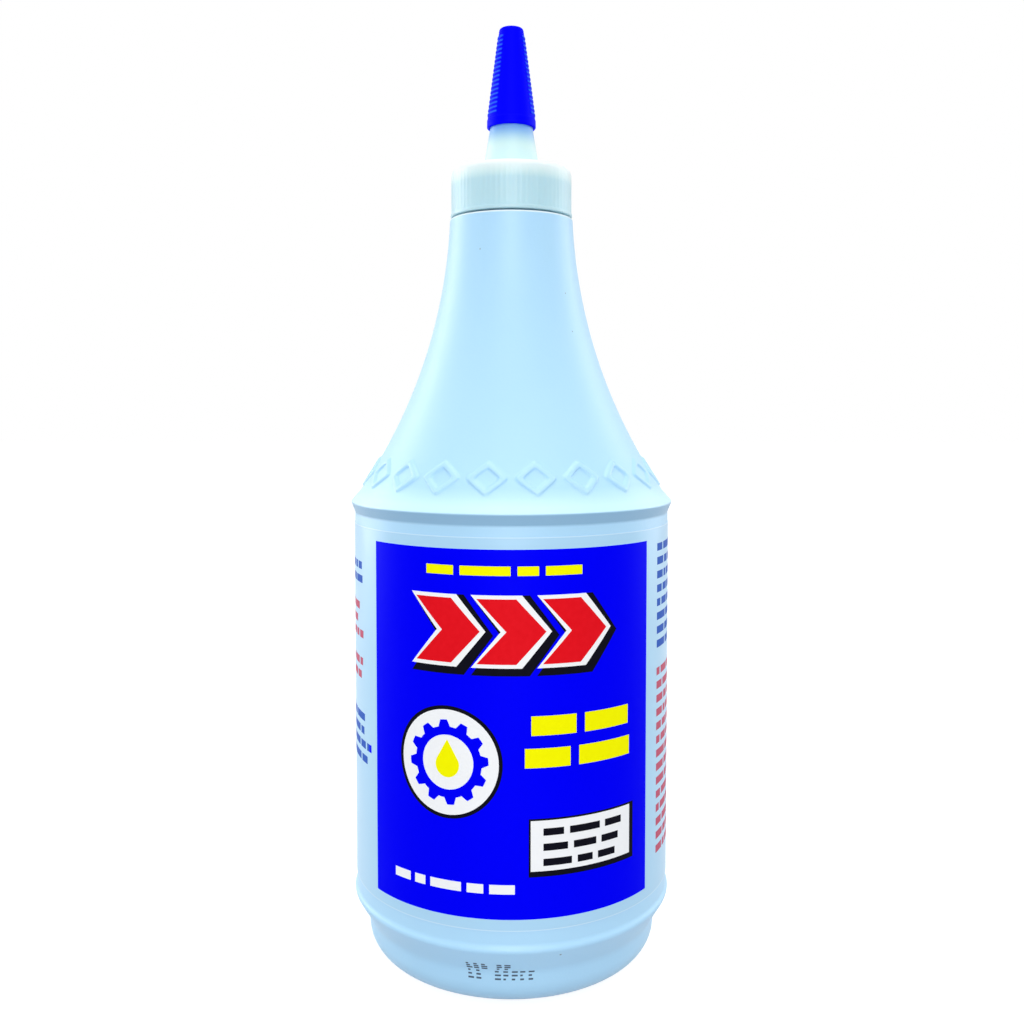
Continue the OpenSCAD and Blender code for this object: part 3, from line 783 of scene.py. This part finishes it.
def right_lines(bm, first, last):
    """Lines beside the right edge of the field."""
    left = FIELD_W / 2 + SIDE_GAP
    for i in range(first, last):
        words(bm, left, left + SIDE_W - i % 3 * 4, FIELD_H - 3.2 - SIDE_STEP * i, i * 3)


def left_lines(bm, blue):
    """Lines beside the left edge of the field."""
    for i, end in enumerate(LEFT_ENDS):
        if (i < 3 or i > 9) == blue:
            words(bm, -FIELD_W / 2 - LEFT_REACH, -FIELD_W / 2 - end, FIELD_H - 8.2 - SIDE_STEP * i, i * 7)


def draw_field(bm):
    bar(bm, -FIELD_W / 2, FIELD_W / 2, 0, FIELD_H)
    right_lines(bm, 0, 8)
    left_lines(bm, True)


def draw_gear(bm):
    toothed_ring(bm, BADGE, BADGE_R - 4, 12, 2)


def draw_outlines(bm):
    for u, v in ARROWS:
        shape(bm, (u + EDGE, v - EDGE), chevron(ARROW_W + 2 * EDGE, ARROW_H + 2 * EDGE, ARROW_SLANT))
    disc(bm, BADGE, BADGE_R + EDGE)
    u, v = BOX[0] + EDGE / 2, BOX[1] - EDGE / 2
    bar(bm, u - BOX_W / 2 - EDGE, u + BOX_W / 2 + EDGE, v - BOX_H / 2 - EDGE, v + BOX_H / 2 + EDGE)


def draw_box_rows(bm):
    for i in range(3):
        low = BOX[1] + 2.4 - 3.6 * i
        bar_row(bm, BOX[0] - BOX_W / 2 + 3, low, low + 1.7, [5 + i, 8 - 2 * i, 5], 1.5)


def draw_white(bm):
    for place in ARROWS:
        shape(bm, place, chevron(ARROW_W, ARROW_H, ARROW_SLANT))
    disc(bm, BADGE, BADGE_R)
    bar(bm, BOX[0] - BOX_W / 2, BOX[0] + BOX_W / 2, BOX[1] - BOX_H / 2, BOX[1] + BOX_H / 2)


def draw_white_row(bm):
    low = FIELD_H * 0.07
    bar_row(bm, -FIELD_W * 0.4, low, low + ROW_H, [5, 3, 8, 4, 6], 1.4)


def draw_red(bm):
    for place in ARROWS:
        shape(bm, place, chevron(ARROW_W - 3 * EDGE, ARROW_H - 2 * EDGE, ARROW_SLANT))


def draw_red_rows(bm):
    right_lines(bm, 9, 23)
    left_lines(bm, False)


def draw_yellow(bm):
    for i in range(2):
        low = FIELD_H * 0.5 - 7.6 * i
        bar_row(bm, FIELD_W * 0.06 - 1.5 * i, low, low + 4.6, [11, 13 + 2 * i], 2.2)
    low = FIELD_H * 0.93
    bar_row(bm, -FIELD_W * 0.27, low, low + ROW_H, [7, 12, 5, 9], 1.6)


def draw_drop(bm):
    drop(bm, (BADGE[0], BADGE[1] - 0.6), 3, 9)


# Date mark on the foot: two short rows of small stacks of sprayed dashes

def foot_at(z):
    """Radius of the outside at a height near the foot."""
    line = foot_line()
    for low, high in zip(line, line[1:]):
        if low.y <= z <= high.y and high.y > low.y:
            return low.x + (high.x - low.x) * (z - low.y) / (high.y - low.y)
    return FOOT_R


def make_date_mark(material):
    bm = bmesh.new()
    dashes = [1.4, 0.8, 1.2, 0.9, 1.4, 1.1, 0.6]
    upper = [-10.6, -8.8, -7.0, -3.4, -1.6]
    lower = [-10.4, -8.4, -3.9, -1.9, 0.1, 2.1, 4.1]
    for low, rise, places in ((10.3, 0.65, upper), (7.5, 0.98, lower)):
        for i, left in enumerate(places):
            for k in range(3):
                length = dashes[(2 * i + 3 * k) % len(dashes)]
                bar(bm, left, left + length, low + k * rise, low + k * rise + 0.42)
    wrap(bm, 0.02, lambda z: foot_at(z) + 0.012, FOOT_R)
    return piece("date_mark", bm, "bottle", material)


make_bottle(blown_polyethylene())
make_closure(moulded_natural_polyethylene())
make_tip_cap(moulded_blue_polypropylene())
make_label(cast_film())
dark = printed_ink("printed_ink_dark", "#0c0c16", "#14141f")
blue = printed_ink("printed_ink_blue", "#0000fc", "#0000ff", "#3562c2")
make_print("blue_print", blue, "print_blue", [(0, draw_field), (3, draw_gear)])
make_print("dark_print", dark, "print_dark", [(1, draw_outlines), (3, draw_box_rows)])
make_print("white_print", printed_ink("printed_ink_white", "#f8fafd", "#fdfefe"), "print_white",
    [(2, draw_white), (1, draw_white_row)])
yellow = printed_ink("printed_ink_yellow", "#fbf800", "#ffff06")
make_print("yellow_print", yellow, "print_yellow", [(1, draw_yellow), (3, draw_drop)])
red = printed_ink("printed_ink_red", "#e4101c", "#ee1a26", "#cb5f78")
make_print("red_print", red, "print_red", [(3, draw_red), (0, draw_red_rows)])
make_date_mark(jet_ink())
for node, material in (("oil_fill", clear_oil()), ("liner", foamed_polyethylene())):
    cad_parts[node].data.materials.clear()
    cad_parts[node].data.materials.append(material)


# Stage: white floor that keeps a soft shadow, even pale surroundings and soft lamps

def make_floor():
    bm = bmesh.new()
    bmesh.ops.create_grid(bm, x_segments=1, y_segments=1, size=4)
    mesh = bpy.data.meshes.new("floor")
    bm.to_mesh(mesh)
    bm.free()
    material, tree = fresh("floor_paper")
    paper = add(tree, "BsdfDiffuse", {"Color": linear("#9ea2a8")})
    lift = add(tree, "Emission", {"Color": (1, 1, 1, 1), "Strength": times(tree, seen_rays(tree), 0.85)})
    both = add(tree, "AddShader", {0: paper.outputs[0], 1: lift.outputs[0]})
    add(tree, "OutputMaterial", {0: both.outputs[0]})
    mesh.materials.append(material)
    floor = bpy.data.objects.new("floor", mesh)
    bpy.context.scene.collection.objects.link(floor)


def make_world():
    world = bpy.data.worlds.new("surroundings")
    bpy.context.scene.world = world
    world.use_nodes = True
    tree = world.node_tree
    tree.nodes.clear()
    level = add(tree, "MapRange", {0: seen_rays(tree), 3: 0.57, 4: 1.0}).outputs[0]
    sky = add(tree, "Background", {"Color": (1, 1, 1, 1), "Strength": level})
    add(tree, "OutputWorld", {0: sky.outputs[0]})


def make_lamp(name, place, aim, size, power):
    """Soft square lamp that the camera doesn't see."""
    data = bpy.data.lights.new(name, "AREA")
    data.shape = "RECTANGLE"
    data.size, data.size_y = size
    data.energy = power
    lamp = bpy.data.objects.new(name, data)
    lamp.location = place
    lamp.rotation_euler = (Vector(aim) - Vector(place)).to_track_quat("-Z", "Y").to_euler()
    lamp.visible_camera = False
    bpy.context.scene.collection.objects.link(lamp)


make_floor()
make_world()
make_lamp("top", (0, -0.05, 0.8), (0, 0, 0.15), (0.5, 0.5), 2.0)
make_lamp("left", (-0.634, 0.296, 0.16), (0, 0, 0.13), (0.35, 0.7), 3.3)
make_lamp("right", (0.634, 0.296, 0.16), (0, 0, 0.13), (0.35, 0.7), 2.2)
make_lamp("front", (0, -0.9, 0.26), (0, 0, 0.06), (0.3, 0.5), 3.7)
